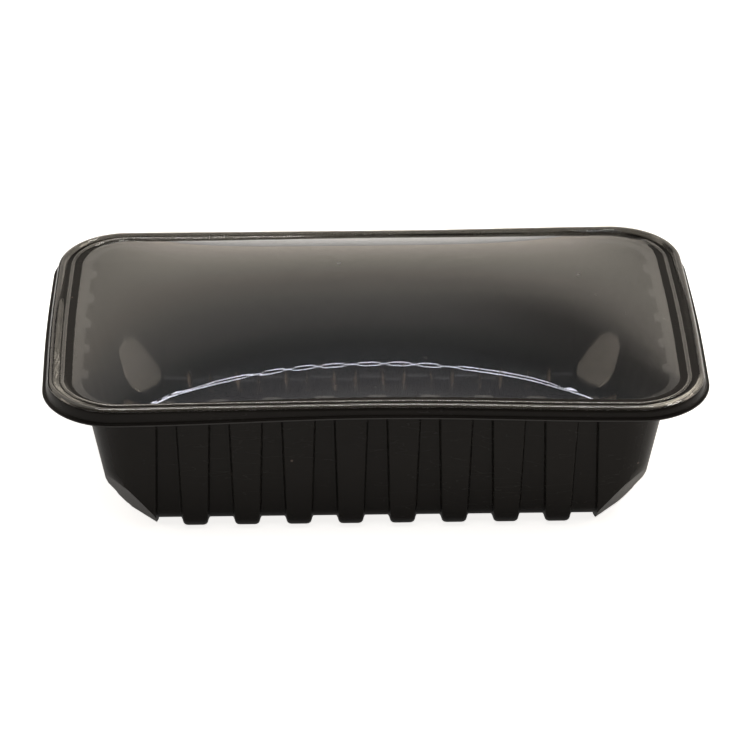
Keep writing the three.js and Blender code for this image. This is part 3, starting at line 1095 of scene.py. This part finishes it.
def table_finish():
    """Pale and dull, with a glow."""
    finish, tree, shader = new_finish("pale_floor")
    shader.inputs["Base Color"].default_value = (0.9, 0.89, 0.88, 1)
    shader.inputs["Roughness"].default_value = 0.9
    shader.inputs["Specular IOR Level"].default_value = 0.0
    shader.inputs["Emission Color"].default_value = (*SOFT_WHITE, 1)
    path = node(tree, "ShaderNodeLightPath").outputs["Is Camera Ray"]
    glow = maths(tree, "ADD", maths(tree, "MULTIPLY", path, CAMERA_GLOW), TABLE_GLOW)
    tree.links.new(glow, shader.inputs["Emission Strength"])
    return finish


table_corners = [
    (x * TABLE_HALF, y * TABLE_HALF, 0) for x, y in ((-1, -1), (1, -1), (1, 1), (-1, 1))
]
floor = sheet_of_card("pale_floor", table_corners, table_finish())
print("table's side in metres:", 2 * TABLE_HALF)


# %% Soft light overhead
def soft_light(name, place, size, power, colour, target=None, only=None):
    """A rectangular lamp that faces down or a target, and lights everything or one thing only."""
    lamp = bpy.data.lights.new(name, "AREA")
    lamp.shape = "RECTANGLE"
    lamp.size, lamp.size_y = size
    lamp.energy = power
    lamp.color = colour
    light = bpy.data.objects.new(name, lamp)
    light.location = place
    if target:
        facing = light.location - Vector(target)
        light.rotation_euler = facing.to_track_quat("Z", "Y").to_euler()
    light.light_linking.receiver_collection = only
    bpy.context.scene.collection.objects.link(light)
    return light


overhead = soft_light("softbox", (0.0, 0.0, 3.0), (4.0, 4.0), 60.0, SOFT_WHITE)
overhead.visible_glossy = False  # it lights the table, and the film mirrors the room instead
overhead.visible_transmission = False
print("softbox watts:", overhead.data.energy)

# %% [markdown]
# ## Lamps for one thing each
#
# Smaller lamps do one thing each.  One draws the bright line along the bead, one makes the
# glint on the right front corner, and one lifts the table on the right, which the lower facet
# mirrors.  They could be masked with cards, as in a studio.  Light linking does it without
# stray shadows: such a lamp lights the film only, or the table only.  Two weak warm lamps at
# the sides light the ends.

# %% Small lamps
def only_for(piece):
    """A collection of one piece, for a lamp that lights nothing else."""
    lit = bpy.data.collections.new("only_" + piece.name)
    lit.objects.link(piece)
    return lit


for_film, for_table = only_for(film), only_for(floor)

# Name, place, size and watts of each, then its colour, what it faces and what it lights.
SMALL_LAMPS = (
    ("front_softbox", (0.0, -0.4, 2.3), (1.8, 0.6), 29.0,
     (1.0, 0.97, 0.92), (0, 0, 0), for_film),
    ("corner_light", (1.3, -0.5, 0.95), (0.6, 0.4), 9.0,
     (1.0, 0.95, 0.88), (0.12, -0.06, 0.06), for_film),
    ("side_light_left", (-1.4, 0.03, 0.64), (0.5, 0.3), 1.0,
     (1.0, 0.86, 0.7), (0, 0.03, 0.03), None),
    ("side_light_right", (1.4, 0.03, 0.64), (0.5, 0.3), 1.05,
     (1.0, 0.86, 0.7), (0, 0.03, 0.03), None),
    ("table_light", (0.5, 0.0, 0.7), (0.4, 0.4), 2.2,
     (1.0, 0.92, 0.8), None, for_table),
)
for settings in SMALL_LAMPS:
    light = soft_light(*settings)
    light.visible_transmission = settings[-1] is not for_film
print("lamps:", sorted(light.name for light in bpy.data.lights))

# %% [markdown]
# ## A dark card
#
# A card of dark felt stands on the left, so that the rim's left end mirrors less of the
# bright table.  From other sides it would stand in the way, so the camera doesn't see it.

# %% Set up the card
FELT = (0.02, 0.02, 0.02)
CARD_FEET, CARD_HEIGHT = ((-0.30, 0.60), (-0.55, 0.25)), 0.2


def make_flag():
    """A dark card that stands upright on the table."""
    felt, _, shader = new_finish("dark_felt")
    shader.inputs["Base Color"].default_value = (*FELT, 1)
    shader.inputs["Roughness"].default_value = 0.9
    start, end = CARD_FEET
    corners = [(*start, 0), (*end, 0), (*end, CARD_HEIGHT), (*start, CARD_HEIGHT)]
    return sheet_of_card("dark_flag", corners, felt)


flag = make_flag()
flag.visible_camera = False
print("card:", flag.name)

# %% [markdown]
# ## The lamp in the film
#
# A lamp made of links hangs half a metre over the back of the tray, above the picture, and
# the dome bends its reflection into the bright arc along the front.  The arc could be painted
# on the film, but it would stay put when the view turns.  Where the lamp hangs follows from
# the dome's shape: a nearly straight lamp there gives that arc.  Its two tubes run side by
# side at the ends, and in the middle they part and meet again as links.

# %% Hang the lamp
LAMP_HEIGHT = 0.5
LAMP_LINE = np.array([  # the lamp's middle line, in metres
    (-0.1090, 0.1520), (-0.1067, 0.1448), (-0.1023, 0.1388),
    (-0.0971, 0.1354), (-0.0884, 0.1325), (-0.0789, 0.1303), (-0.0693, 0.1285),
    (-0.0546, 0.1266), (-0.0352, 0.1248), (-0.0166, 0.1234), (0.0073, 0.1229),
    (0.0270, 0.1229), (0.0452, 0.1223), (0.0668, 0.1224), (0.0838, 0.1234),
    (0.0943, 0.1244), (0.1040, 0.1256), (0.1094, 0.1257), (0.1146, 0.1245),
    (0.1190, 0.1232), (0.1225, 0.1240), (0.1257, 0.1290), (0.1291, 0.1366),
])
LINKS = (-0.0527, -0.0333, -0.0150, 0.0073, 0.0263, 0.0447)  # middles of the links
LINK_HALF = 0.0072  # half a link's length

# Near the ends the tubes run side by side: places along the lamp, and how far apart they are.
TWIN_PLACES = (-0.109, -0.100, -0.088, -0.070, -0.065, 0.0605, 0.0655, 0.115, 0.122)
TWIN_PARTS = (0.15, 0.25, 0.7, 0.8, 0.0, 0.0, 0.85, 0.8, 0.3)
TUBE, TUBE_GAP = 0.0014, 0.0068  # half a tube's width, and half the distance between tubes
TAPER_PLACES, TAPER_SHARES = (-0.109, -0.092, 0.11, 0.125), (0.5, 1.0, 1.0, 0.7)
LAMP_STEPS, SMOOTHINGS = 500, 60
CROSSING = 0.0001  # one tube hangs this much over, the other under the middle


def tubes_part(x):
    """How far the tubes are apart at a place along the lamp, 0 to 1."""
    part = np.interp(x, TWIN_PLACES, TWIN_PARTS)
    for link in LINKS:
        part = np.maximum(part, np.sqrt(np.clip(1 - ((x - link) / LINK_HALF) ** 4, 0, 1)))
    return part


def lamp_line():
    """The lamp's middle line, evenly stepped and smooth."""
    steps = np.concatenate([[0], np.cumsum(np.hypot(*np.diff(LAMP_LINE, axis=0).T))])
    fine = np.linspace(0, steps[-1], LAMP_STEPS)
    line = np.column_stack([np.interp(fine, steps, LAMP_LINE[:, k]) for k in (0, 1)])
    for _ in range(SMOOTHINGS):
        line[1:-1] = (line[:-2] + 2 * line[1:-1] + line[2:]) / 4
    return line


def hang_lamp():
    """Two flat glowing tubes along the line."""
    line = lamp_line()
    heading = np.gradient(line, axis=0)
    heading /= np.linalg.norm(heading, axis=1)[:, None]
    aside = np.column_stack([-heading[:, 1], heading[:, 0]])
    gap = TUBE_GAP * tubes_part(line[:, 0])
    half = TUBE * np.interp(line[:, 0], TAPER_PLACES, TAPER_SHARES)
    points, faces = [], []
    for side in (-1, 1):
        middle = line + aside * (side * gap)[:, None]
        start, count = len(points), len(line)
        for edge in (-1, 1):
            outline = middle + aside * (edge * half)[:, None]
            points += [(x, y, LAMP_HEIGHT + side * CROSSING) for x, y in outline]
        faces += [
            (start + k, start + k + 1, start + count + k + 1, start + count + k)
            for k in range(count - 1)
        ]
    mesh = bpy.data.meshes.new("link_lamp")
    mesh.from_pydata(points, [], faces)
    glow, _, shader = new_finish("lamp_glow")
    shader.inputs["Base Color"].default_value = (0, 0, 0, 1)
    shader.inputs["Emission Color"].default_value = (0.86, 0.87, 1.0, 1)
    shader.inputs["Emission Strength"].default_value = 12.0
    mesh.materials.append(glow)
    lamp = bpy.data.objects.new("link_lamp", mesh)
    bpy.context.scene.collection.objects.link(lamp)
    return lamp


lamp = hang_lamp()
lamp.visible_camera = False  # only its reflection is wanted
print("lamp's length in metres:", round(lamp.dimensions.x, 3))

# %% [markdown]
# ## The camera
#
# A long lens, thirty degrees above the table and a little to the left of the middle.  Its
# place was found by fitting the rim, the ribs and the feet to the photograph.

# %% Set the camera
CAMERA_PLACE = (-0.036792, -1.258070, 0.765198)
CAMERA_AIM = np.array([0.0258344, 0.86487764, -0.50131752])
CAMERA_ROLL = math.radians(0.26)
LENS, SENSOR = 172.66, 36.0

right = np.cross(CAMERA_AIM, (0, 0, 1))
right /= np.linalg.norm(right)
up = np.cross(right, CAMERA_AIM)
across = right * math.cos(CAMERA_ROLL) + up * math.sin(CAMERA_ROLL)
upright = up * math.cos(CAMERA_ROLL) - right * math.sin(CAMERA_ROLL)
view = bpy.data.cameras.new("camera")
view.sensor_width = SENSOR
view.lens = LENS
view.clip_start, view.clip_end = 0.05, 50.0
camera = bpy.data.objects.new("camera", view)
camera.matrix_world = Matrix([
    (across[k], upright[k], -CAMERA_AIM[k], CAMERA_PLACE[k]) for k in range(3)
] + [(0, 0, 0, 1)])
bpy.context.scene.collection.objects.link(camera)
bpy.context.scene.camera = camera
bpy.context.scene.view_settings.view_transform = "Standard"
print("lens in mm:", view.lens)
